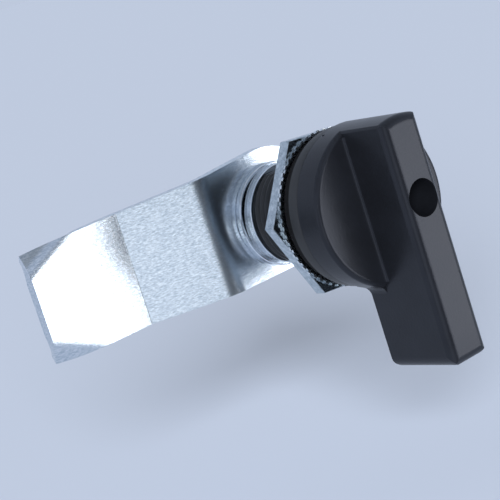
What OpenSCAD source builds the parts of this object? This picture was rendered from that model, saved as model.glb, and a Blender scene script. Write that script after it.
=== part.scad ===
// Cabinet cylinder lock with a lever handle and a joggled cam.
// The lock axis runs along Y. The user stands on the -Y side and the cabinet is on the +Y side.
// The origin lies on the lock axis, in the back face of the housing flange that seats on the panel.
// Every piece is drawn along a local Z that points into the cabinet, with local Y pointing down.

/* [Handle] */
// Radius of the round skirt
skirt_r = 16; // [15:0.5:20]
// Height of the skirt from its foot to its flat top
skirt_h = 6; // [5:0.25:9]
// Height of the narrower band at the skirt's foot
foot_band_h = 1.5; // [0.8:0.1:3]
// Step in radius between the foot band and the skirt
foot_band_step = 0.3; // [0.1:0.05:0.8]
// Reach of the lever from the lock axis
lever_reach = 32; // [26:1:45]
// Width of the lever bar
lever_w = 9.2; // [8.4:0.2:13]
// Height of the lever bar above the skirt
lever_h = 11.3; // [8:0.1:16]
// Lift of the lever's underside above the skirt's foot
lever_lift = 0.6; // [0.2:0.1:2]
// Rounding of the bar's outer edges
edge_round = 1.7; // [0.6:0.1:2.4]
// Rounding of the two corners at the lever's end, seen along the lock axis
end_round = 2.4; // [0.8:0.1:3.6]
// Rounding of the skirt's front rim and of the bar's upright corners above it
rim_round = 1; // [0.4:0.1:1.6]
// Fillet between the bar and the flat top of the skirt
foot_fillet = 0.7; // [0.3:0.1:2]
// Fillet between the bar's sides and the wall of the skirt
side_fillet = 2.6; // [0.5:0.1:4]
// Radius of the screw well in the lever's top
well_r = 3.6; // [3.5:0.1:4]
// Depth of the screw well
well_d = 12.1; // [8:0.1:14]
// Floor between the screw well and the square socket
web_t = 1.7; // [1.2:0.1:2.5]
// Wall left round the moulding's cored pockets
core_wall = 2.2; // [1.4:0.1:3]
// Thickness of the ribs in the cored pockets
core_rib = 1.4; // [0.8:0.1:2.5]
// Number of ribs under the skirt
core_ribs = 6; // [3:1:8]
// Radius of the boss that turns in the housing
boss_r = 8.2; // [7.6:0.1:8.6]
// Length of the boss below the skirt's foot
boss_l = 5.5; // [4:0.25:7]

/* [Housing] */
// Radius of the flange
flange_r = 15.5; // [14.5:0.25:19]
// Thickness of the flange
flange_t = 2.7; // [2:0.1:4]
// Radius of the threaded barrel
barrel_r = 10; // [9.8:0.1:12]
// Length of the barrel behind the flange
barrel_l = 17.8; // [15:0.2:26]
// Distance across the two flats of the barrel
barrel_flats = 18; // [17:0.25:19.5]
// Pitch of the barrel's thread
thread_pitch = 1.5; // [1:0.25:2.5]
// Depth of the barrel's thread
thread_d = 0.8; // [0.4:0.1:1]
// Chamfer at the barrel's end
barrel_chamfer = 0.6; // [0.2:0.1:1]
// Depth of the gasket recess in the flange
recess_d = 1; // [0.5:0.1:1.4]
// Width of the flange face left on each side of the gasket recess
recess_margin = 0.8; // [0.6:0.1:1.8]
// Middle of the stop lug, in degrees above the horizontal on the right
lug_angle = 30; // [20:5:45]
// Width of the stop lug in degrees
lug_width = 30; // [20:2:40]
// Height of the stop lug
lug_h = 1.3; // [0.8:0.1:1.5]

/* [Panel fixing] */
// Distance across the flats of the nut
nut_af = 30; // [27:0.5:36]
// Thickness of the nut
nut_t = 2.5; // [2:0.1:5]
// Depth of the nut's front face behind the flange
nut_depth = 3.2; // [3:0.1:8]
// Turn of the nut's corners from the horizontal in degrees
nut_turn = 5.3; // [0:0.1:60]
// Thickness of the tooth washer
tooth_washer_t = 0.6; // [0.4:0.1:0.8]
// Radius over the teeth of the tooth washer
tooth_r = 15.4; // [14.5:0.1:17]
// Number of teeth on the tooth washer
teeth = 60; // [36:2:72]
// Depth of each tooth
tooth_d = 0.5; // [0.4:0.1:1.6]
// Thickness of the panel gasket
gasket_t = 3; // [1.2:0.1:3.2]

/* [Spindle] */
// Radius of the bearing journal
journal_r = 6.5; // [6:0.1:7]
// Radius of the rear collar
collar_r = 8; // [7.5:0.1:8.4]
// Thickness of the rear collar
collar_t = 3; // [2:0.1:4]
// Side of the square that drives the handle
front_square = 8; // [7:0.1:8.6]
// Side of the square that drives the cam
rear_square = 9; // [8:0.1:9.6]
// Section radius of the spindle's seal ring
spindle_seal_section = 0.75; // [0.5:0.05:1]
// Section radius of the handle's seal ring
handle_seal_section = 0.6; // [0.4:0.05:0.8]

/* [Rear stack] */
// Thickness of the stop washer
stop_t = 1.5; // [1.5:0.1:2.5]
// Free height of the wave washer
wave_h = 1.5; // [1.2:0.1:2.2]
// Thickness of the wave washer's steel
wave_t = 0.5; // [0.3:0.05:0.8]
// Number of waves
waves = 3; // [2:1:5]
// Thickness of the spacer washer
spacer_t = 1.5; // [0.8:0.1:3]
// Overhang of the spacer washer past the barrel
spacer_proud = 0.5; // [0.2:0.1:1.2]

/* [Cam] */
// Thickness of the cam plate
cam_t = 2.4; // [1.8:0.1:3.2]
// Distance of the cam's straight edge from the lock axis
cam_half_w = 11.5; // [11:0.25:13]
// Radius of the round hub
hub_r = 13.6; // [13.2:0.1:16]
// Distance from the lock axis to the first bend
bend_1 = 15.5; // [14:0.25:18]
// Distance from the lock axis to the second bend
bend_2 = 30.9; // [27:0.25:34]
// Distance from the lock axis to the tip
cam_reach = 52.9; // [46:0.5:64]
// Set-back of the tip behind the hub
joggle = 9.1; // [5:0.1:12]
// Inner radius of the bends
bend_r = 3; // [1:0.25:4]
// Length of the folded corners along the cam's edges
corner_l = 8.6; // [5:0.2:12]
// Width of the folded corners along the tip
corner_w = 4; // [2:0.2:5]
// Angle of the folded corners in degrees
corner_fold = 30; // [10:1:45]

/* [Fasteners] */
// Shank radius of the handle screw
handle_screw_r = 2; // [1.5:0.1:2.4]
// Head radius of the handle screw
handle_head_r = 3.4; // [3:0.1:3.45]
// Head height of the handle screw
handle_head_h = 2.6; // [1.6:0.1:3.4]
// Width of the slot in the handle screw's head
handle_slot_w = 1; // [0.6:0.1:1.4]
// Length of the handle screw inside the spindle
handle_screw_l = 7; // [4:0.5:9]
// Thickness of the spring washer under the handle screw
handle_spring_t = 0.9; // [0.6:0.1:1.4]
// Shank radius of the cam screw
cam_screw_r = 3; // [2:0.1:3.4]
// Distance across the flats of the cam screw's head
cam_head_af = 10; // [9:0.5:13]
// Head height of the cam screw
cam_head_h = 4; // [3:0.1:5]
// Radius of the flat face on the cam screw's head
cam_head_face_r = 4.7; // [4:0.1:6]
// Length of the cam screw behind the cam's back face
cam_screw_l = 11; // [7:0.5:12.5]
// Radius of the plain washer behind the cam
plain_washer_r = 9; // [7:0.5:11]
// Thickness of the plain washer
plain_washer_t = 1.6; // [1:0.1:2.5]
// Thickness of the spring washer behind the cam
cam_spring_t = 1.6; // [1:0.1:2.2]

/* [Fits] */
// Radial clearance of turning fits
turn_fit = 0.05; // [0.03:0.01:0.08]
// Side clearance of square drives and fixed fits
slip_fit = 0.05; // [0.03:0.01:0.15]
// Axial gap between the handle and the flange
turn_gap = 0.3; // [0.2:0.05:0.5]
// Axial gap between the spindle and the housing
end_gap = 0.1; // [0.05:0.05:0.3]
// Radial clearance of screws and loose washers
loose_fit = 0.15; // [0.1:0.05:0.3]
// Angular play of the stop in degrees
stop_play = 2; // [1:0.5:4]

/* [Hidden] */
$fn = 96;

// Depths along the lock axis, counted from the flange's back face
flange_face = -flange_t;
skirt_foot = flange_face - turn_gap;
skirt_top = skirt_foot - skirt_h;
lever_top = skirt_top - lever_h;
lever_under = skirt_foot - lever_lift;
well_floor = lever_top + well_d;
socket_floor = well_floor + web_t;
boss_end = skirt_foot + boss_l;
boss_bore_floor = boss_end + 2 * turn_gap;
journal_front = boss_end + turn_gap;
collar_back = barrel_l + end_gap;
collar_front = collar_back - collar_t;
collar_bore_floor = collar_front - end_gap;
stop_back = collar_back + stop_t;
wave_back = stop_back + wave_h;
cam_front = wave_back + spacer_t;
cam_back = cam_front + cam_t;
plain_back = cam_back + plain_washer_t;
cam_spring_back = plain_back + cam_spring_t;

// Radii and lengths that follow from the driving sizes
turn_angle = 90;
journal_bore = journal_r + turn_fit;
collar_bore = collar_r + turn_fit;
boss_bore = boss_r + turn_fit;
nut_bore = barrel_r + turn_fit;
gasket_in = barrel_r + recess_margin;
gasket_out = flange_r - recess_margin;
stop_r = barrel_r + loose_fit;
stop_core_r = collar_r - loose_fit;
wave_r = barrel_r - loose_fit;
wave_bore = rear_square / sqrt(2) + 2 * loose_fit;
tap_spare = 3;
cam_tip_front = cam_front + joggle;
flange_round = 0.4;
split_lean = 25;
// Depth by which a fillet patch enters the faces it joins
fillet_bite = 0.05;
// Flats that stand for each bend of the cam's sheet
bend_steps = 6;
// Corners of one turn of the thread, as shares of its pitch and of its depth
thread_corners = [[0, 1], [0.25, 1], [0.55, 0], [0.7, 0]];
// Length of the plain neck in front of the thread, as a share of its pitch
neck = 0.7;
// Corners of one tooth, as shares of its pitch and of its depth
tooth_corners = [[0, 0], [0.3, 0], [0.45, 1], [0.85, 1]];
// Widest angle between two points on the rim of a pie slice
slice_step = 30;
// Share of the cam's thickness by which a folded corner stands off its fold line
fold_off = 1 / 8;
// Surplus by which a cutter passes the face it opens
overrun = 1;

// Turns a piece drawn along local Z so that it lies along the lock axis
module axial() {
    rotate([-90, 0, 0]) children();
}

// Plain ring between two depths
module ring(from, to, bore, r) {
    translate([0, 0, from]) difference() {
        cylinder(h = to - from, r = r);
        translate([0, 0, -overrun]) cylinder(h = to - from + 2 * overrun, r = bore);
    }
}

// Solid round between two depths
module round_bar(from, to, r) {
    translate([0, 0, from]) cylinder(h = to - from, r = r);
}

// Square bar between two depths
module square_bar(from, to, side) {
    translate([-side / 2, -side / 2, from]) cube([side, side, to - from]);
}

// Torus for a seal ring
module seal_ring(depth, r, section) {
    translate([0, 0, depth]) rotate_extrude() translate([r, 0]) circle(section, $fn = 48);
}

// Pie slice between two angles that covers every point within radius r
module slice(from, to, r, h) {
    steps = ceil((to - from) / slice_step);
    angles = [for (i = [0 : steps]) from + (to - from) * i / steps];
    linear_extrude(h) polygon(concat([[0, 0]], [for (a = angles) 2 * r * [cos(a), sin(a)]]));
}

// Rectangle from one corner to the other with round corners on its low-y side
module tile(w, low, high, r) {
    translate([-w / 2, low + r]) square([w, high - low - r]);
    translate([-w / 2 + r, low]) square([w - 2 * r, r + overrun / 10]);
    for (s = [-1, 1]) translate([s * (w / 2 - r), low + r]) circle(r, $fn = 48);
}

// Split spring washer with a slanted cut
module split_washer(from, to, bore, r) {
    cut = (to - from) / 2;
    difference() {
        ring(from, to, bore, r);
        translate([0, 0, (from + to) / 2]) rotate([0, split_lean, 0])
            translate([-cut / 2, 0, -(to - from)]) cube([cut, r + overrun, 2 * (to - from)]);
    }
}

// Barrel with its thread drawn as rings of one pitch behind a plain neck, and a chamfer at its end
module threaded_bar() {
    thread_end = barrel_l - barrel_chamfer;
    turns = floor(thread_end / thread_pitch);
    rings = [for (i = [1 : turns - 1], k = thread_corners)
        [barrel_r - k[1] * thread_d, (i + k[0]) * thread_pitch]];
    rotate_extrude() polygon(concat([[0, -overrun], [barrel_r, -overrun], [barrel_r, neck * thread_pitch]],
        rings, [[barrel_r, thread_end], [barrel_r - barrel_chamfer, barrel_l], [0, barrel_l]]));
}

// Die-cast housing: flange, threaded barrel with two flats, bores and a stop lug at its end
module housing() {
    color([0.13, 0.13, 0.14]) axial() difference() {
        union() {
            rotate_extrude() {
                translate([0, flange_face + flange_round]) square([flange_r, flange_t - flange_round]);
                translate([0, flange_face]) square([flange_r - flange_round, flange_t]);
                translate([flange_r - flange_round, flange_face + flange_round])
                    circle(flange_round, $fn = 32);
            }
            intersection() {
                threaded_bar();
                translate([-barrel_r - overrun, -barrel_flats / 2, -overrun])
                    cube([2 * (barrel_r + overrun), barrel_flats, barrel_l + 2 * overrun]);
            }
            intersection() {
                ring(barrel_l - overrun, barrel_l + lug_h, collar_bore, barrel_r - barrel_chamfer);
                translate([0, 0, barrel_l - overrun]) rotate([0, 0, -lug_angle])
                    slice(-lug_width / 2, lug_width / 2, barrel_r, lug_h + overrun);
            }
        }
        round_bar(flange_face - overrun, boss_bore_floor, boss_bore);
        round_bar(flange_face, barrel_l, journal_bore);
        round_bar(collar_bore_floor, barrel_l + lug_h + overrun, collar_bore);
        ring(-recess_d, overrun, gasket_in - slip_fit, gasket_out + slip_fit);
    }
}

// Flat rubber ring in the recess of the flange
module panel_gasket() {
    color([0.05, 0.05, 0.05]) axial() ring(-recess_d, gasket_t - recess_d, gasket_in, gasket_out);
}

// Thin steel washer with saw teeth round its edge
module tooth_washer() {
    pitch = 360 / teeth;
    outline = [for (i = [0 : teeth - 1], k = tooth_corners)
        let (a = (i + k[0]) * pitch, r = tooth_r - (1 - k[1]) * tooth_d) [r * cos(a), r * sin(a)]];
    color([0.78, 0.8, 0.82]) axial() translate([0, 0, nut_depth - turn_fit - tooth_washer_t]) difference() {
        linear_extrude(tooth_washer_t) polygon(outline);
        round_bar(-overrun, tooth_washer_t + overrun, barrel_r + loose_fit);
    }
}

// Thin hexagon nut on the barrel's thread
module mounting_nut() {
    color([0.74, 0.77, 0.8]) axial() translate([0, 0, nut_depth]) difference() {
        rotate([0, 0, nut_turn]) cylinder(h = nut_t, r = nut_af / sqrt(3), $fn = 6);
        round_bar(-overrun, nut_t + overrun, nut_bore);
    }
}

// Round form of the handle between two depths, with its front rim rounded
module lathe_round(front, back, r, rim) {
    rotate_extrude() {
        translate([0, front + rim]) square([r, back - front - rim]);
        translate([0, front]) square([r - rim, back - front]);
        translate([r - rim, front + rim]) circle(rim, $fn = 48);
    }
}

// Side view of the lever, drawn in depth and height, with its outer corners rounded
module lever_side(from, to) {
    translate([to - edge_round, 0]) {
        translate([0, lever_top + edge_round]) circle(edge_round, $fn = 48);
        translate([0, lever_under - edge_round]) circle(edge_round, $fn = 48);
    }
    translate([from, lever_top]) square([to - edge_round - from, lever_under - lever_top]);
    translate([from, lever_top + edge_round]) square([to - from, lever_under - lever_top - 2 * edge_round]);
}

// Waste outside the rounded upright corners at the bar's upper end, seen along the lock axis
module corner_cuts() {
    x = lever_w / 2 - rim_round + fillet_bite;
    y = sqrt(pow(skirt_r - rim_round + fillet_bite, 2) - x * x);
    for (s = [-1, 1]) difference() {
        polygon([[s * x, -y], [s * 2 * x, -y], [s * 2 * x, -2 * y]]);
        translate([s * x, -y]) circle(rim_round, $fn = 64);
    }
}

// Bar across the skirt: one end follows the skirt's wall and the other reaches out as the lever
module lever_bar() {
    intersection() {
        rotate([-90, 0, 0]) mirror([0, 1, 0]) translate([0, 0, -skirt_r])
            linear_extrude(skirt_r + lever_reach) tile(lever_w, lever_top, lever_under, edge_round);
        translate([-lever_w, 0, 0]) rotate([90, 0, 90])
            linear_extrude(2 * lever_w) lever_side(-skirt_r - overrun, lever_reach);
        union() {
            difference() {
                lathe_round(lever_top, lever_under, skirt_r, edge_round);
                translate([0, 0, lever_top - overrun])
                    linear_extrude(lever_h + rim_round + 2 * overrun) corner_cuts();
            }
            translate([0, 0, lever_top]) linear_extrude(lever_under - lever_top)
                mirror([0, 1, 0]) tile(lever_w, -lever_reach, 0, end_round);
        }
    }
}

// Fillet patches between the bar's sides and the skirt's wall, seen along the lock axis
module side_fillets() {
    x = lever_w / 2 + side_fillet - fillet_bite;
    y = sqrt(pow(skirt_r + side_fillet - fillet_bite, 2) - x * x);
    for (s = [-1, 1]) difference() {
        polygon([[0, 0], [s * x, y], [0, y]]);
        translate([s * x, y]) circle(side_fillet, $fn = 64);
    }
}

// Fillet strips along the foot of the bar, on the skirt's flat top
module foot_fillets() {
    rotate([-90, 0, 0]) mirror([0, 1, 0]) translate([0, 0, -skirt_r]) linear_extrude(2 * skirt_r)
        for (s = [-1, 1]) difference() {
            translate([s * (lever_w + foot_fillet) / 2, skirt_top - foot_fillet / 2])
                square(foot_fillet, center = true);
            translate([s * (lever_w / 2 + foot_fillet), skirt_top - foot_fillet])
                circle(foot_fillet, $fn = 48);
        }
}

// Pockets that core out the moulding from below: a ring under the skirt and a slot under the lever
module core_pockets() {
    ring_in = boss_r + core_wall / 2;
    ring_out = skirt_r - foot_band_step - core_wall;
    slot_from = skirt_r + core_wall / 2;
    slot_to = lever_reach - core_wall;
    slot_w = lever_w - 2 * core_wall;
    difference() {
        ring(skirt_top + core_wall, skirt_foot + overrun, ring_in, ring_out);
        for (i = [0 : core_ribs - 1]) rotate([0, 0, 360 * (i + 1 / 2) / core_ribs])
            translate([0, -core_rib / 2, skirt_top]) cube([skirt_r, core_rib, skirt_h + 2 * overrun]);
    }
    difference() {
        translate([-slot_w / 2, slot_from, lever_top + core_wall])
            cube([slot_w, slot_to - slot_from, lever_under - lever_top - core_wall + overrun]);
        translate([-slot_w, (slot_from + slot_to - core_rib) / 2, lever_top])
            cube([2 * slot_w, core_rib, lever_under - lever_top]);
    }
}

// Moulded handle: skirt, lever, boss, screw well and square socket
module handle() {
    color([0.2, 0.2, 0.22]) axial() difference() {
        union() {
            lathe_round(skirt_top, skirt_foot - foot_band_h, skirt_r, rim_round);
            round_bar(skirt_top + rim_round, skirt_foot, skirt_r - foot_band_step);
            lever_bar();
            intersection() {
                foot_fillets();
                round_bar(lever_top, skirt_foot, skirt_r - rim_round);
            }
            translate([0, 0, skirt_top + rim_round])
                linear_extrude(lever_under - skirt_top - rim_round) side_fillets();
            round_bar(skirt_foot - overrun, boss_end, boss_r);
        }
        round_bar(lever_top - overrun, well_floor, well_r);
        round_bar(well_floor - overrun, socket_floor + overrun, handle_screw_r + loose_fit);
        square_bar(socket_floor, boss_end + overrun, front_square + 2 * slip_fit);
        ring(boss_end - boss_l / 2 - handle_seal_section, boss_end - boss_l / 2 + handle_seal_section,
            boss_r - 2 * handle_seal_section, boss_r + overrun);
        core_pockets();
    }
}

// Cheese-head screw that holds the handle on the spindle
module handle_screw() {
    seat = well_floor - handle_spring_t;
    color([0.16, 0.16, 0.17]) axial() difference() {
        union() {
            round_bar(seat - handle_head_h, seat, handle_head_r);
            round_bar(seat - overrun, socket_floor + handle_screw_l, handle_screw_r - slip_fit);
        }
        translate([-handle_head_r - overrun, -handle_slot_w / 2, seat - handle_head_h - overrun])
            cube([2 * (handle_head_r + overrun), handle_slot_w, handle_head_h / 2 + overrun]);
    }
}

// Split spring washer under the head of the handle screw
module handle_spring_washer() {
    color([0.5, 0.5, 0.52]) axial() split_washer(well_floor - handle_spring_t, well_floor,
        handle_screw_r + loose_fit, handle_head_r - loose_fit);
}

// Rubber seal ring in the groove of the handle's boss
module handle_seal_ring() {
    color([0.04, 0.04, 0.04]) axial()
        seal_ring(boss_end - boss_l / 2, boss_r - handle_seal_section, handle_seal_section);
}

// Turned spindle: squares at both ends, journal with a seal groove, collar and tapped ends
module spindle() {
    groove = (journal_front + collar_front) / 2;
    section = spindle_seal_section + slip_fit;
    color([0.72, 0.73, 0.75]) axial() difference() {
        union() {
            square_bar(socket_floor + end_gap, journal_front + overrun, front_square);
            round_bar(journal_front, collar_front + overrun, journal_r);
            round_bar(collar_front, collar_back, collar_r);
            square_bar(collar_back - overrun, cam_back - 2 * end_gap, rear_square);
        }
        ring(groove - section, groove + section, journal_r - 2 * spindle_seal_section, journal_r + overrun);
        round_bar(socket_floor, socket_floor + handle_screw_l + tap_spare, handle_screw_r);
        round_bar(cam_back - cam_screw_l - tap_spare, cam_back + overrun, cam_screw_r);
    }
}

// Rubber seal ring in the groove of the spindle
module spindle_seal_ring() {
    color([0.04, 0.04, 0.04]) axial()
        seal_ring((journal_front + collar_front) / 2, journal_r - spindle_seal_section,
            spindle_seal_section);
}

// Stop washer: its cut-out runs against the lug of the housing and limits the turn
module stop_washer() {
    from = -lug_angle - lug_width / 2 - stop_play;
    to = -lug_angle + lug_width / 2 + turn_angle + stop_play;
    color([0.82, 0.84, 0.86]) axial() difference() {
        round_bar(collar_back, stop_back, stop_r);
        intersection() {
            ring(collar_back - overrun, stop_back + overrun, stop_core_r, stop_r + overrun);
            translate([0, 0, collar_back - overrun]) slice(from, to, stop_r, stop_t + 2 * overrun);
        }
        square_bar(collar_back - overrun, stop_back + overrun, rear_square + 2 * slip_fit);
    }
}

// Wave washer: a thin ring whose height follows a sine round the axis
module wave_washer() {
    steps = 24 * waves;
    swing = (wave_h - wave_t) / 2;
    middle = (stop_back + wave_back) / 2;
    section = [[wave_bore, -1], [wave_r, -1], [wave_r, 1], [wave_bore, 1]];
    points = [for (i = [0 : steps - 1], s = section) let (a = 360 * i / steps)
        [s[0] * cos(a), s[0] * sin(a), middle + swing * sin(waves * a) + s[1] * wave_t / 2]];
    faces = [for (i = [0 : steps - 1], k = [0 : 3], half = [0, 1])
        let (a = 4 * i, b = 4 * ((i + 1) % steps), n = (k + 1) % 4)
        half == 0 ? [a + k, b + k, b + n] : [a + k, b + n, a + n]];
    color([0.7, 0.72, 0.74]) axial() polyhedron(points, faces);
}

// Spacer washer between the wave washer and the cam
module spacer_washer() {
    color([0.82, 0.84, 0.86]) axial()
        ring(wave_back, cam_front, rear_square / sqrt(2) + loose_fit, barrel_r + spacer_proud);
}

// Points of an arc round c
function arc(c, r, from, to) =
    [for (i = [0 : bend_steps]) let (a = from + (to - from) * i / bend_steps) c + r * [cos(a), sin(a)]];

// Edge view of the joggled plate, with reach along x and depth along y
module cam_profile() {
    slope = atan(joggle / (bend_2 - bend_1));
    outer = bend_r + cam_t;
    hub_bend = [bend_1 - outer * tan(slope / 2), cam_back + bend_r];
    tip_bend = [bend_2 + bend_r * tan(slope / 2), cam_tip_front - bend_r];
    hub_end = -hub_r - overrun;
    tip_end = cam_reach + overrun;
    front = concat(arc(hub_bend, outer, -90, slope - 90), arc(tip_bend, bend_r, 90 + slope, 90));
    back = concat(arc(tip_bend, outer, 90, 90 + slope), arc(hub_bend, bend_r, slope - 90, -90));
    tip = [[tip_end, cam_tip_front], [tip_end, cam_tip_front + cam_t]];
    polygon(concat([[hub_end, cam_front]], front, tip, back, [[hub_end, cam_back]]));
}

// Outline of the cam seen from the front: round hub, one straight edge and one edge that tapers to the arm
module cam_outline() {
    lean = asin(hub_r / norm([bend_2, cam_half_w])) - atan(cam_half_w / bend_2);
    hub_touch = -hub_r * [sin(lean), cos(lean)];
    intersection() {
        union() {
            circle(hub_r);
            polygon([hub_touch, [bend_2, -cam_half_w], [cam_reach, -cam_half_w], [cam_reach, cam_half_w],
                [0, cam_half_w], [0, 0]]);
        }
        translate([-2 * hub_r, -2 * hub_r]) square([2 * (hub_r + cam_reach), 2 * hub_r + cam_half_w]);
    }
}

// Plane of a folded corner: children are placed with x along the fold, y outwards and z behind its front
module at_fold(side) {
    translate([cam_reach, side * (cam_half_w - corner_w), cam_tip_front])
        rotate([0, 0, 180 - side * atan(corner_w / corner_l)]) mirror([0, side > 0 ? 1 : 0, 0])
        rotate([corner_fold, 0, 0]) children();
}

// Stamped cam: joggled plate with its tip corners folded back as lead-ins
module cam() {
    fold_l = corner_l + corner_w;
    wide = hub_r + overrun;
    deep = joggle + 2 * cam_t + corner_w;
    color([0.8, 0.83, 0.87]) axial() mirror([1, 0, 0]) difference() {
        intersection() {
            union() {
                translate([0, wide, 0]) rotate([90, 0, 0]) linear_extrude(2 * wide) cam_profile();
                for (s = [-1, 1]) at_fold(s) translate([-corner_l, fold_off * cam_t, 0])
                    cube([fold_l + 2 * corner_l, fold_l, cam_t]);
            }
            translate([0, 0, cam_front - overrun]) linear_extrude(deep) cam_outline();
        }
        square_bar(cam_front - overrun, cam_back + overrun, rear_square + 2 * slip_fit);
        for (s = [-1, 1]) at_fold(s) translate([-corner_l, -overrun, -fold_l])
            cube([fold_l + 2 * corner_l, 2 * fold_l, fold_l]);
    }
}

// Plain washer that clamps the cam
module cam_plain_washer() {
    color([0.78, 0.8, 0.83]) axial() ring(cam_back, plain_back, cam_screw_r + loose_fit, plain_washer_r);
}

// Split spring washer under the head of the cam screw
module cam_spring_washer() {
    color([0.6, 0.62, 0.64]) axial()
        split_washer(plain_back, cam_spring_back, cam_screw_r + loose_fit, cam_head_af / 2 + loose_fit);
}

// Hexagon screw that holds the cam on the spindle
module cam_screw() {
    color([0.76, 0.78, 0.8]) axial() {
        translate([0, 0, cam_spring_back]) intersection() {
            cylinder(h = cam_head_h, r = cam_head_af / sqrt(3), $fn = 6);
            cylinder(h = cam_head_h, r1 = cam_head_af, r2 = cam_head_face_r);
        }
        round_bar(cam_back - cam_screw_l, cam_spring_back + overrun, cam_screw_r - slip_fit);
    }
}

housing();
panel_gasket();
tooth_washer();
mounting_nut();
handle();
handle_screw();
handle_spring_washer();
handle_seal_ring();
spindle();
spindle_seal_ring();
stop_washer();
wave_washer();
spacer_washer();
cam();
cam_plain_washer();
cam_spring_washer();
cam_screw();
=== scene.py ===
from math import asin, atan, atan2, cos, degrees, hypot, pi, radians, sin, sqrt, tan

import bmesh
import bpy
from mathutils import Euler, Matrix, Vector


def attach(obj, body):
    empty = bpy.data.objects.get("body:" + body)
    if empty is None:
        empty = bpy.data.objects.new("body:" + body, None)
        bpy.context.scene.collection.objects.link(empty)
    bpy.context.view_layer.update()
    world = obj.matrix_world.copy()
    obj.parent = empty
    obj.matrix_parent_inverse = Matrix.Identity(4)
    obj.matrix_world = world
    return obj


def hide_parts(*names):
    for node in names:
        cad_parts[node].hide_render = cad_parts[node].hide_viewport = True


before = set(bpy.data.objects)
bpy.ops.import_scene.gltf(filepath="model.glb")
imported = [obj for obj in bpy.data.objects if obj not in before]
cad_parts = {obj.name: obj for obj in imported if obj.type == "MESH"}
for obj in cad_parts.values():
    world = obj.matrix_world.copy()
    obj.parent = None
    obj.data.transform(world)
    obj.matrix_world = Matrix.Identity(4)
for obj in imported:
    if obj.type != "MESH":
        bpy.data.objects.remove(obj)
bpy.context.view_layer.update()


# Housing. A zinc die casting: the flange that seats on the panel and the barrel that passes through it.
# The barrel has a cast thread for the nut and two flats that stop it turning in the panel's hole.
# The whole casting is dipped in a thin black coat, so the thread's crests look soft and satin.

def linear(colour):
    """Linear RGBA of an sRGB hex colour."""
    rgb = [int(colour[i:i + 2], 16) / 255 for i in (1, 3, 5)]
    return (*[c / 12.92 if c <= 0.04045 else ((c + 0.055) / 1.055) ** 2.4 for c in rgb], 1)


def per_mm(size):
    """Texture scale that gives a pattern of this size in millimetres."""
    return 1000 / size


def add(tree, kind, values=None, links=None, **settings):
    """Adds a node with its settings, input values and links."""
    node = tree.nodes.new("ShaderNode" + kind)
    for name, value in settings.items():
        setattr(node, name, value)
    for name, value in (values or {}).items():
        node.inputs[name].default_value = value
    for name, socket in (links or {}).items():
        tree.links.new(socket, node.inputs[name])
    return node


def new_finish(name, **values):
    """Starts a material, and gives it with its node tree and its surface shader."""
    finish = bpy.data.materials.new(name)
    finish.use_nodes = True
    surface = finish.node_tree.nodes["Principled BSDF"]
    for socket, value in values.items():
        surface.inputs[socket.replace("_", " ")].default_value = value
    return finish, finish.node_tree, surface


# Black dip coat on a casting: deep black with a satin skin, faintly uneven like fine orange peel.
black_coat, tree, surface = new_finish("black_dip_coat")
place = add(tree, "TexCoord").outputs["Object"]
cloud = add(tree, "TexNoise", {"Scale": per_mm(3), "Detail": 4}, {"Vector": place})
tone = add(tree, "ValToRGB", links={"Fac": cloud.outputs["Fac"]})
tone.color_ramp.elements[0].color = linear("#0e0f11")
tone.color_ramp.elements[1].color = linear("#191b1f")
sheen = add(tree, "MapRange", {"To Min": 0.32, "To Max": 0.46}, {"Value": cloud.outputs["Fac"]})
peel = add(tree, "TexNoise", {"Scale": per_mm(0.6), "Detail": 2}, {"Vector": place})
relief = add(tree, "Bump", {"Strength": 0.15, "Distance": 0.0001}, {"Height": peel.outputs["Fac"]})
tree.links.new(tone.outputs["Color"], surface.inputs["Base Color"])
tree.links.new(sheen.outputs["Result"], surface.inputs["Roughness"])
tree.links.new(relief.outputs["Normal"], surface.inputs["Normal"])


def lathe(bm, outline, closed=True, steps=96, angle=2 * pi):
    """Turns (radius, depth) points about the lock axis, from the +X side, and gives the new vertices."""
    before = set(bm.verts)
    verts = [bm.verts.new((r, y, 0)) for r, y in outline]
    ends = verts[1:] + verts[:1] if closed else verts[1:]
    edges = [bm.edges.new(pair) for pair in zip(verts, ends)]
    bmesh.ops.spin(bm, geom=verts + edges, cent=(0, 0, 0), axis=(0, 1, 0), angle=angle, steps=steps,
                   use_merge=angle == 2 * pi)
    return [v for v in bm.verts if v not in before]


def cut(bm, point, across, clear=True):
    """Cuts a mesh along a plane, and clears away what lies past it unless told not to."""
    bmesh.ops.bisect_plane(bm, geom=bm.verts[:] + bm.edges[:] + bm.faces[:], dist=1e-4, plane_co=point,
                           plane_no=across, clear_outer=clear)


def open_edges(bm, test):
    """Edges of open rims whose ends both pass the test."""
    return [e for e in bm.edges if e.is_boundary and all(test(v.co) for v in e.verts)]


def make_piece(bm, name, body, finish, nodes, crease=14):
    """Turns a mesh drawn in millimetres into a piece that rides on a body and stands for some nodes."""
    bmesh.ops.remove_doubles(bm, verts=bm.verts, dist=0.002)
    bmesh.ops.recalc_face_normals(bm, faces=bm.faces)
    bmesh.ops.scale(bm, vec=(0.001, 0.001, 0.001), verts=bm.verts)
    mesh = bpy.data.meshes.new(name)
    bm.to_mesh(mesh)
    bm.free()
    mesh.shade_smooth()
    mesh.set_sharp_from_angle(angle=radians(crease))
    mesh.materials.append(finish)
    piece = bpy.data.objects.new(name, mesh)
    bpy.context.scene.collection.objects.link(piece)
    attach(piece, body)
    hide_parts(*nodes)


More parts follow.
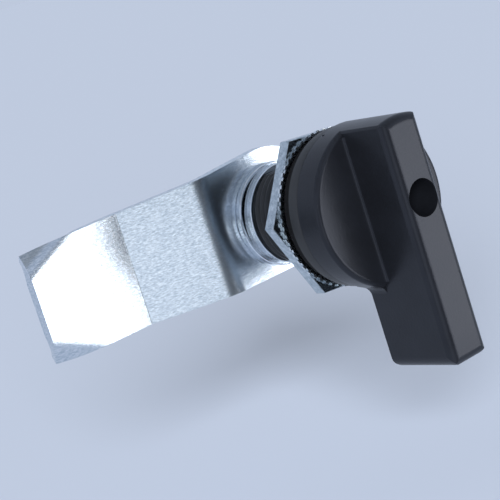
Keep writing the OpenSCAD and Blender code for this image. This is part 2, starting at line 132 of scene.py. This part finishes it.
barrel_r, barrel_front, barrel_back, barrel_flat, barrel_chamfer = 10, -0.3, 17.8, 9, 1
pitch, thread_root, thread_crest, thread_steps = 1.5, 9.2, 9.97, 72
boss_bore, boss_floor, journal_bore, collar_bore, collar_floor = 8.25, 3.1, 6.55, 8.05, 14.8
flange_r, flange_front, recess_in, recess_out, recess_floor = 15.5, -2.7, 10.75, 14.75, -1
lug_r, lug_front, lug_back, lug_width, lug_turn = 9.4, 17.3, 19.1, 30, -45

bm = bmesh.new()
# thread: radius and share of the pitch along one ridge, repeated past both ends of the barrel and spun
# through one turn that climbs by one pitch
ridge = ((thread_root, 0), (thread_root, 0.25), (thread_crest, 0.55), (thread_crest, 0.7))
line = [bm.verts.new((r, pitch * (turn + share), 0)) for turn in range(-2, 14) for r, share in ridge]
edges = [bm.edges.new(pair) for pair in zip(line, line[1:])]
bmesh.ops.spin(bm, geom=line + edges, cent=(0, 0, 0), axis=(0, 1, 0), angle=2 * pi, steps=thread_steps,
               dvec=(0, pitch / thread_steps, 0))
bmesh.ops.remove_doubles(bm, verts=bm.verts, dist=0.002)
# trimmed to the barrel's length, with a chamfer at its back
cut(bm, (0, barrel_front, 0), (0, -1, 0))
cut(bm, (0, barrel_back, 0), (0, 1, 0))
for v in bm.verts:
    limit = barrel_r - max(0, v.co.y - barrel_back + barrel_chamfer)
    radius = hypot(v.co.x, v.co.z)
    if radius > limit:
        v.co.x, v.co.z = v.co.x * limit / radius, v.co.z * limit / radius
# stepped bore, joined to the thread at both ends
lathe(bm, [(boss_bore, barrel_front), (boss_bore, boss_floor), (journal_bore, boss_floor),
           (journal_bore, collar_floor), (collar_bore, collar_floor), (collar_bore, barrel_back)],
      closed=False)
for depth in (barrel_front, barrel_back):
    bmesh.ops.triangle_fill(bm, use_beauty=True, edges=open_edges(bm, lambda co: abs(co.y - depth) < 0.01))
# two flats
for side in (-1, 1):
    cut(bm, (0, 0, side * barrel_flat), (0, 0, side))
    bmesh.ops.holes_fill(bm, edges=open_edges(bm, lambda co: abs(co.z - side * barrel_flat) < 0.01))
# flange with a soft front rim and the gasket's recess in its back
front_rim = [(15.1, flange_front), (15.3, -2.64), (15.44, -2.5), (flange_r, -2.3)]
back_rim = [(flange_r, -0.2), (15.3, 0)]
recess = [(recess_out, 0), (recess_out, recess_floor), (recess_in, recess_floor), (recess_in, 0)]
lathe(bm, [(boss_bore, flange_front)] + front_rim + back_rim + recess + [(boss_bore, 0)])
# stop lug on the barrel's end
lug = lathe(bm, [(collar_bore, lug_front), (lug_r, lug_front), (lug_r, lug_back), (collar_bore, lug_back)],
            steps=10, angle=radians(lug_width))
bmesh.ops.holes_fill(bm, edges=[e for e in bm.edges if e.is_boundary])
bmesh.ops.rotate(bm, verts=lug, cent=(0, 0, 0), matrix=Matrix.Rotation(radians(lug_turn), 3, "Y"))
make_piece(bm, "threaded_housing", "lock_body", black_coat, ["housing"], crease=20)


# Panel gasket. A flat ring punched from black rubber sheet, pressed into the recess behind the flange.
# It stands a little proud until the panel squeezes it flat.

def dress(finish, *names):
    """Gives the frame's nodes a finish in place of their plain one."""
    for name in names:
        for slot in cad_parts[name].material_slots:
            slot.material = finish


# Nitrile rubber: dull dark grey-black, with a fine dusty bloom.
rubber, tree, surface = new_finish("nitrile_rubber", Specular_IOR_Level=0.2)
place = add(tree, "TexCoord").outputs["Object"]
bloom = add(tree, "TexNoise", {"Scale": per_mm(2), "Detail": 5}, {"Vector": place})
tone = add(tree, "ValToRGB", links={"Fac": bloom.outputs["Fac"]})
tone.color_ramp.elements[0].color = linear("#050506")
tone.color_ramp.elements[1].color = linear("#0b0b0c")
dull = add(tree, "MapRange", {"To Min": 0.68, "To Max": 0.85}, {"Value": bloom.outputs["Fac"]})
tree.links.new(tone.outputs["Color"], surface.inputs["Base Color"])
tree.links.new(dull.outputs["Result"], surface.inputs["Roughness"])
dress(rubber, "panel_gasket", "handle_seal_ring", "spindle_seal_ring")


# Tooth washer. Stamped from thin hardened strip and plated, with fine teeth twisted out of its plane
# so that they bite into the panel when the nut is drawn up. It lies on the nut's front face.

def mottled_metal(name, dark, light, grain, gloss, matt, bump=0.12, stretch=(1, 1, 1)):
    """Metal mottled by a grain of this size in millimetres, with its range of tone and roughness."""
    finish, tree, surface = new_finish(name, Metallic=1)
    place = add(tree, "TexCoord").outputs["Object"]
    along = add(tree, "Mapping", {"Scale": stretch}, {"Vector": place})
    mottle = add(tree, "TexNoise", {"Scale": per_mm(grain), "Detail": 6, "Roughness": 0.65},
                 {"Vector": along.outputs["Vector"]})
    tone = add(tree, "ValToRGB", links={"Fac": mottle.outputs["Fac"]})
    tone.color_ramp.elements[0].position = 0.3
    tone.color_ramp.elements[1].position = 0.7
    tone.color_ramp.elements[0].color = linear(dark)
    tone.color_ramp.elements[1].color = linear(light)
    sheen = add(tree, "MapRange", {"From Min": 0.3, "From Max": 0.7, "To Min": matt, "To Max": gloss},
                {"Value": mottle.outputs["Fac"]})
    relief = add(tree, "Bump", {"Strength": bump, "Distance": 0.0001}, {"Height": mottle.outputs["Fac"]})
    tree.links.new(tone.outputs["Color"], surface.inputs["Base Color"])
    tree.links.new(sheen.outputs["Result"], surface.inputs["Roughness"])
    tree.links.new(relief.outputs["Normal"], surface.inputs["Normal"])
    return finish


# Zinc plate on tempered strip: a cool pale metal, a little dull. The plating's grain, here and on the other
# plated pieces, is finer than this and is drawn coarse enough to show.
tempered_zinc = mottled_metal("zinc_on_tempered_strip", "#c3ccd3", "#edf2f5", grain=0.7, gloss=0.22,
                              matt=0.34)

washer_front, washer_back, washer_bore, washer_r = 2.65, 3.15, 10.15, 15.1
teeth, tooth_in, tooth_out, tooth_w, tooth_taper, tooth_twist = 60, 14.95, 15.4, 1, 0.75, 5
bm = bmesh.new()
lathe(bm, [(washer_bore, washer_front), (washer_r, washer_front), (washer_r, washer_back),
           (washer_bore, washer_back)])
# one tooth: a small block, narrowed at its tip and twisted, copied round the rim
tooth = bmesh.ops.create_cube(bm, size=1)["verts"]
bmesh.ops.scale(bm, vec=(tooth_out - tooth_in, washer_back - washer_front, tooth_w), verts=tooth)
tip = [v for v in tooth if v.co.x > 0]
bmesh.ops.scale(bm, vec=(1, 1, tooth_taper), verts=tip)
bmesh.ops.rotate(bm, verts=tip, cent=(0, 0, 0), matrix=Matrix.Rotation(radians(tooth_twist), 3, "X"))
bmesh.ops.translate(bm, vec=((tooth_in + tooth_out) / 2, (washer_front + washer_back) / 2, 0), verts=tooth)
tooth_edges = {e for v in tooth for e in v.link_edges}
tooth_faces = {f for v in tooth for f in v.link_faces}
bmesh.ops.spin(bm, geom=tooth + list(tooth_edges) + list(tooth_faces), cent=(0, 0, 0), axis=(0, 1, 0),
               angle=2 * pi * (teeth - 1) / teeth, steps=teeth - 1, use_duplicate=True)
make_piece(bm, "twisted_tooth_washer", "washer_ring", tempered_zinc, ["tooth_washer"])


# Mounting nut. A thin hexagon nut pressed from plate, tapped for the barrel and zinc plated.
# It is spun up the barrel and clamps the panel against the flange.

def blank(bm, depth, thickness):
    """Fills the outlines drawn so far, moves the plate to its depth and gives it its thickness."""
    plate = bmesh.ops.triangle_fill(bm, use_beauty=True, edges=bm.edges[:])["geom"]
    bmesh.ops.translate(bm, vec=(0, depth, 0), verts=bm.verts)
    faces = [g for g in plate if isinstance(g, bmesh.types.BMFace)]
    grown = bmesh.ops.extrude_face_region(bm, geom=faces)["geom"]
    back = [g for g in grown if isinstance(g, bmesh.types.BMVert)]
    bmesh.ops.translate(bm, vec=(0, thickness, 0), verts=back)


def soften(bm, width, sharper_than=40, segments=2):
    """Rounds every edge that is sharper than an angle in degrees."""
    sharp = [e for e in bm.edges if len(e.link_faces) == 2 and e.calc_face_angle() > radians(sharper_than)]
    bmesh.ops.bevel(bm, geom=sharp, offset=width, offset_type="OFFSET", affect="EDGES", segments=segments,
                    profile=0.5, material=-1, clamp_overlap=True)


# Barrel plating on a pressed nut: greyer than the washers, with rubbed spots from tumbling.
nut_zinc = mottled_metal("tumbled_zinc_plate", "#9ba8b0", "#d6dfe5", grain=0.9, gloss=0.16, matt=0.3,
                         bump=0.2)

nut_af, nut_front, nut_t, nut_turn, thread_play = 30, 3.2, 2.5, 35.3, 0.05
across = Matrix.Rotation(radians(90), 4, "X")
bm = bmesh.new()
bmesh.ops.create_circle(bm, segments=6, radius=nut_af / sqrt(3),
                        matrix=Matrix.Rotation(radians(nut_turn), 4, "Y") @ across)
bmesh.ops.create_circle(bm, segments=72, radius=barrel_r + thread_play, matrix=across)
blank(bm, nut_front, nut_t)
soften(bm, 0.2)
make_piece(bm, "hexagon_nut", "nut", nut_zinc, ["mounting_nut"])


# Handle. Moulded in one shot from glass-filled nylon: a round skirt with a bar across it that reaches out
# as the lever. It is cored out from below, and its boss drops into the housing onto the spindle's square.

# Glass-filled nylon: charcoal black with a satin moulded skin, slightly cloudy. Its fine grain is drawn
# coarse enough to show.
nylon, tree, surface = new_finish("moulded_black_nylon", Specular_IOR_Level=0.35,
                                  Specular_Tint=linear("#e6ecfc"))
place = add(tree, "TexCoord").outputs["Object"]
cloud = add(tree, "TexNoise", {"Scale": per_mm(6), "Detail": 5, "Roughness": 0.6}, {"Vector": place})
tone = add(tree, "ValToRGB", links={"Fac": cloud.outputs["Fac"]})
tone.color_ramp.elements[0].color = linear("#0b0c0f")
tone.color_ramp.elements[1].color = linear("#13151a")
sheen = add(tree, "MapRange", {"To Min": 0.26, "To Max": 0.36}, {"Value": cloud.outputs["Fac"]})
grain = add(tree, "TexNoise", {"Scale": per_mm(0.5), "Detail": 3}, {"Vector": place})
relief = add(tree, "Bump", {"Strength": 0.2, "Distance": 0.0001}, {"Height": grain.outputs["Fac"]})
tree.links.new(tone.outputs["Color"], surface.inputs["Base Color"])
tree.links.new(sheen.outputs["Result"], surface.inputs["Roughness"])
tree.links.new(relief.outputs["Normal"], surface.inputs["Normal"])
dress(nylon, "handle")


# Spindle. Turned from steel bar and milled square at both ends, it carries the turn from handle to cam.
# The handle screw and its spring washer, both blackened, hold the handle on its front end.

# Turned steel: grey metal with rings from the turning, which lie across the lock axis. They are drawn
# coarser than the real ones, so that they show.
turned_steel, tree, surface = new_finish("turned_steel", Metallic=1)
place = add(tree, "TexCoord").outputs["Object"]
rings = add(tree, "TexWave", {"Scale": per_mm(6.3), "Distortion": 0.6, "Detail": 2}, {"Vector": place},
            bands_direction="Y")
tone = add(tree, "ValToRGB", links={"Fac": rings.outputs["Fac"]})
tone.color_ramp.elements[0].color = linear("#9fa3a7")
tone.color_ramp.elements[1].color = linear("#c3c6c9")
sheen = add(tree, "MapRange", {"To Min": 0.28, "To Max": 0.4}, {"Value": rings.outputs["Fac"]})
tree.links.new(tone.outputs["Color"], surface.inputs["Base Color"])
tree.links.new(sheen.outputs["Result"], surface.inputs["Roughness"])
dress(turned_steel, "spindle")

# Blackened steel: a thin dark oxide that leaves the metal's gloss, a little worn in patches.
black_oxide, tree, surface = new_finish("blackened_steel", Metallic=1)
place = add(tree, "TexCoord").outputs["Object"]
wear = add(tree, "TexNoise", {"Scale": per_mm(1.5), "Detail": 5}, {"Vector": place})
tone = add(tree, "ValToRGB", links={"Fac": wear.outputs["Fac"]})
tone.color_ramp.elements[0].color = linear("#1a1b1d")
tone.color_ramp.elements[1].color = linear("#34363a")
sheen = add(tree, "MapRange", {"To Min": 0.35, "To Max": 0.55}, {"Value": wear.outputs["Fac"]})
tree.links.new(tone.outputs["Color"], surface.inputs["Base Color"])
tree.links.new(sheen.outputs["Result"], surface.inputs["Roughness"])
dress(black_oxide, "handle_screw", "handle_spring_washer")


# Stop washer. A plated steel disc on the spindle's rear square, with part of its rim cut away.
# The ends of the cut-out meet the housing's lug and limit the handle to a quarter turn.

def arc(bm, radius, start, end, steps):
    """Vertices along an arc across the lock axis, between two angles in degrees above +X."""
    first = bm.verts.new((radius * cos(radians(start)), 0, radius * sin(radians(start))))
    before = set(bm.verts)
    bmesh.ops.spin(bm, geom=[first], cent=(0, 0, 0), axis=(0, 1, 0), angle=radians(start - end), steps=steps)
    return [first] + [v for v in bm.verts if v not in before]


def square_hole(bm, side):
    """Outline of a square hole on the lock axis."""
    half = side / 2
    places = ((-half, -half), (half, -half), (half, half), (-half, half))
    corners = [bm.verts.new((x, 0, z)) for x, z in places]
    for pair in zip(corners, corners[1:] + corners[:1]):
        bm.edges.new(pair)


# Blue-passivated zinc plate: cool and bright, lightly mottled.
bright_zinc = mottled_metal("bright_zinc_plate", "#dbe3ea", "#f3f6f9", grain=0.7, gloss=0.1, matt=0.17)

stop_front, stop_back, stop_r, stop_core_r = 17.9, 19.4, 10.15, 7.85
cut_top, cut_end, square_bore = 47, -77, 9.1
bm = bmesh.new()
rim = arc(bm, stop_r, cut_top, cut_end + 360, 64)
core = arc(bm, stop_core_r, cut_end, cut_top, 32)
bm.edges.new((rim[-1], core[0]))
bm.edges.new((core[-1], rim[0]))
square_hole(bm, square_bore)
blank(bm, stop_front, stop_back - stop_front)
soften(bm, 0.18)
make_piece(bm, "stop_disc", "rotor", bright_zinc, ["stop_washer"])


# Wave washer. A ring of spring steel strip pressed into three shallow waves.
# It sits between the stop washer and the spacer and keeps the cam from rattling.

# Spring steel: hard rolled strip, darker than zinc and evenly bright.
spring_steel = mottled_metal("bright_spring_steel", "#aab2b9", "#cfd5da", grain=0.6, gloss=0.2, matt=0.3)

waves, wave_t, wave_in, wave_out, wave_back = 3, 1, 6.66, 9.85, 20.9
wave_swing = (wave_back - stop_back - wave_t) / 2
middle = (stop_back + wave_back) / 2
bm = bmesh.new()
lathe(bm, [(wave_in, middle - wave_t / 2), (wave_out, middle - wave_t / 2), (wave_out, middle + wave_t / 2),
           (wave_in, middle + wave_t / 2)], steps=144)
for v in bm.verts:
    v.co.y += wave_swing * sin(waves * atan2(-v.co.z, v.co.x))
soften(bm, 0.1)
make_piece(bm, "wave_spring", "rotor", spring_steel, ["wave_washer"])


# Spacer washer. A thick plated washer, turned with soft edges, that backs the wave washer.
# The cam bears on its rear face.
spacer_in, spacer_r, spacer_back = 6.5, 10.5, 22.4
bm = bmesh.new()
lathe(bm, [(spacer_in, wave_back), (spacer_r, wave_back), (spacer_r, spacer_back), (spacer_in, spacer_back)],
      steps=128)
soften(bm, 0.3, segments=3)
make_piece(bm, "spacer_ring", "rotor", bright_zinc, ["spacer_washer"])


# Cam. Blanked from 2.4 mm steel sheet and bent twice so that its tip reaches behind the cabinet's frame, with
# the tip's corners folded back as lead-ins, then zinc plated. A square hole drives it from the spindle.

# Barrel-plated zinc on cold-rolled sheet: cool, bright and slightly frosted, streaked along the rolling.
sheet_zinc = mottled_metal("zinc_plated_sheet", "#aebcc9", "#eff4f8", grain=0.34, gloss=0.18, matt=0.28,
                           bump=0.2, stretch=(0.4, 0.4, 1.5))

cam_t, half_w, hub_r, hub_end = 2.4, 11.5, 13.6, 94
bend_1, bend_2, reach, joggle = 15.5, 30.9, 52.9, 9.1
round_1, round_2, bend_cuts = 9, 0.6, 8
corner_l, corner_w, corner_fold, fold_cuts, fold_inset, fold_spread = 8.6, 4, 40, 12, 2, 1.4
slope, tip_lean = atan(joggle / (bend_2 - bend_1)), radians(2)
# lengths along the flat sheet's front face
half_turn = tan(slope / 2)
flat_1 = bend_1 - round_1 * half_turn
curve_1 = round_1 * slope
flat_2 = flat_1 + curve_1 + hypot(bend_2 - bend_1, joggle) - (round_1 + round_2) * half_turn
curve_2 = round_2 * slope
flat_tip = flat_2 + curve_2 + reach - bend_2 - round_2 * half_turn

bm = bmesh.new()
hub = arc(bm, hub_r, -degrees(asin(half_w / hub_r)), hub_end, 56)
far = [bm.verts.new((x, 0, z)) for x, z in ((-flat_2, half_w), (-flat_tip, half_w), (-flat_tip, -half_w))]
for pair in zip([hub[-1]] + far, far + [hub[0]]):
    bm.edges.new(pair)
square_hole(bm, square_bore)
bmesh.ops.triangle_fill(bm, use_beauty=True, edges=bm.edges[:])
# folded corners: each is curled over the width of its triangle, in steps from the outside in
corner_depth = corner_l * corner_w / hypot(corner_l, corner_w)
for side in (-1, 1):
    start = Vector((-flat_tip + corner_l, 0, side * half_w))
    run = Vector((-corner_l, 0, -side * corner_w)).normalized()
    outward = Vector((-corner_w, 0, side * corner_l)).normalized()
    steps = [start + outward * (fold_spread * corner_depth * i / fold_cuts - fold_inset)
             for i in reversed(range(fold_cuts))]
    for point in steps:
        cut(bm, point, outward, clear=False)
    for point in steps:
        beyond = [v for v in bm.verts if (v.co - point).dot(outward) > 1e-3]
        bmesh.ops.rotate(bm, verts=beyond, cent=point,
                         matrix=Matrix.Rotation(radians(side * corner_fold / fold_cuts), 3, run))
# two bends, rolled from the tip towards the hub
for near, curve, turn in ((flat_2, curve_2, slope - tip_lean), (flat_1, curve_1, -slope)):
    lines = [near + curve * i / bend_cuts for i in range(bend_cuts + 1)]
    for x in lines:
        cut(bm, (-x, 0, 0), (1, 0, 0), clear=False)
    for i, x in reversed(list(enumerate(lines))):
        share = 0.5 if i in (0, bend_cuts) else 1
        beyond = [v for v in bm.verts if v.co.x < -x - 1e-3]
        bmesh.ops.rotate(bm, verts=beyond, cent=(-x, 0, 0),
                         matrix=Matrix.Rotation(turn * share / bend_cuts, 3, "Z"))
bmesh.ops.translate(bm, vec=(0, spacer_back, 0), verts=bm.verts)
# the sheet faces the user, and its thickness grows away from there
bmesh.ops.recalc_face_normals(bm, faces=bm.faces)
if bm.faces[:][0].normal.y > 0:
    bmesh.ops.reverse_faces(bm, faces=bm.faces)
bmesh.ops.solidify(bm, geom=bm.faces[:], thickness=cam_t)
soften(bm, 0.3, sharper_than=55, segments=3)
make_piece(bm, "joggled_cam", "rotor", sheet_zinc, ["cam"])


# Rear fasteners. A plain washer, a split spring washer and a hexagon screw, all of bright steel,
# hold the cam on the spindle's rear end.
dress(bright_zinc, "cam_plain_washer", "cam_screw")
dress(spring_steel, "cam_spring_washer")


# Stage. A pale blue-grey table top, level and well below the lock so that the cam can turn over it.
# It ends in front of the lock, and the same tone lies all round it as a backdrop.

def card(name, finish, half_width, half_height, centre=(0, 0, 0)):
    """A flat card that stands round the lock and is no part of it."""
    bm = bmesh.new()
    bmesh.ops.create_grid(bm, x_segments=1, y_segments=1, size=1)
    bmesh.ops.scale(bm, vec=(half_width, half_height, 1), verts=bm.verts)
    bmesh.ops.translate(bm, vec=centre, verts=bm.verts)
    mesh = bpy.data.meshes.new(name)
    bm.to_mesh(mesh)
    bm.free()
    mesh.materials.append(finish)
    sheet = bpy.data.objects.new(name, mesh)
    bpy.context.scene.collection.objects.link(sheet)
    return sheet


# Pale studio paper: even and quite dull, so that only the shadow marks it.
floor_colour = linear("#bec9dd")
floor_z, floor_front, floor_far = -0.057, -0.07, 6
paper = new_finish("pale_studio_paper", Base_Color=floor_colour, Roughness=0.9, Specular_IOR_Level=0)[0]
card("table_top", paper, floor_far, (floor_far - floor_front) / 2,
     centre=(0, (floor_far + floor_front) / 2, floor_z))

# The backdrop is what the camera and mirrored rays meet. An even white fill lights the rest.
world = bpy.data.worlds.new("studio")
bpy.context.scene.world = world
world.use_nodes = True
tree = world.node_tree
seen = tree.nodes["Background"]
seen.inputs["Color"].default_value = floor_colour
fill = add(tree, "Background", {"Color": linear("#ffffff"), "Strength": 0.355})
path = add(tree, "LightPath")
mirror = add(tree, "Math", links={0: path.outputs["Is Camera Ray"], 1: path.outputs["Is Glossy Ray"]},
             operation="MAXIMUM")
direct = add(tree, "Math", links={0: mirror.outputs[0], 1: path.outputs["Is Transmission Ray"]},
             operation="MAXIMUM")
either = add(tree, "MixShader", links={0: direct.outputs[0], 1: fill.outputs[0], 2: seen.outputs[0]})
tree.links.new(either.outputs[0], tree.nodes["World Output"].inputs["Surface"])


# Light. A broad soft key from above the camera draws the shadow. A softbox low in front on the right is
# mirrored by the cam's tip and the lever's face, a weak one on the left by the rounded edges, and a small
# one close by on the left by the cam's slope.

def aim(thing, place):
    """Puts a lamp or card in its place and turns its face to the lock."""
    thing.location = place
    thing.rotation_euler = (-Vector(place)).to_track_quat("-Z", "Y").to_euler()


def hang(light, place):
    """Hangs a lamp in its place and gives its object."""
    lamp = bpy.data.objects.new(light.name, light)
    bpy.context.scene.collection.objects.link(lamp)
    aim(lamp, place)
    return lamp


def softbox(name, place, width, height, power, tint):
    """A rectangular area lamp that faces the lock."""
    light = bpy.data.lights.new(name, "AREA")
    light.shape = "RECTANGLE"
    light.size, light.size_y = width, height
    light.energy = power
    light.color = linear(tint)[:3]
    hang(light, place).visible_camera = False


key = bpy.data.lights.new("key", "SUN")
key.energy = 8.1
key.angle = radians(25)
hang(key, (-0.6, -0.755, 0.255)).visible_glossy = False
softbox("front_softbox", (0.235, -0.35, -0.09), width=0.34, height=0.26, power=1, tint="#f8faff")
softbox("left_softbox", (-0.42, 0.03, 0.02), width=0.22, height=0.3, power=0.05, tint="#eef4ff")
softbox("slope_softbox", (-0.106, -0.141, -0.032), width=0.09, height=0.09, power=0.029, tint="#e8f0fb")

# Studio cloths that only mirrored rays meet. The grey one behind the camera gives the rounded edges their
# dark lines, and the pale one overhead gives the rings and the cam's folded corners a soft light.
for name, place, half_width, half_height, tint in (("rear_cloth", (0, -0.5, -0.18), 1.2, 0.35, "#858c95"),
                                                   ("top_cloth", (0, -0.1, 0.8), 0.9, 0.9, "#e2e8ef")):
    cloth = new_finish("grey_" + name, Base_Color=linear(tint), Roughness=1)[0]
    screen = card(name, cloth, half_width, half_height)
    screen.visible_camera = screen.visible_diffuse = screen.visible_shadow = False
    aim(screen, place)


# Camera. A long lens from the front left, slightly above and rolled, as in the photograph.
lens = bpy.data.cameras.new("camera")
lens.sensor_width = 36
lens.lens = 133.84
camera = bpy.data.objects.new("camera", lens)
camera.location = (-0.22843, -0.26678, 0.06106)
camera.rotation_euler = Euler([radians(a) for a in (79.249, 17.646, -40.451)])
bpy.context.scene.collection.objects.link(camera)
bpy.context.scene.camera = camera
bpy.context.scene.view_settings.view_transform = "Standard"
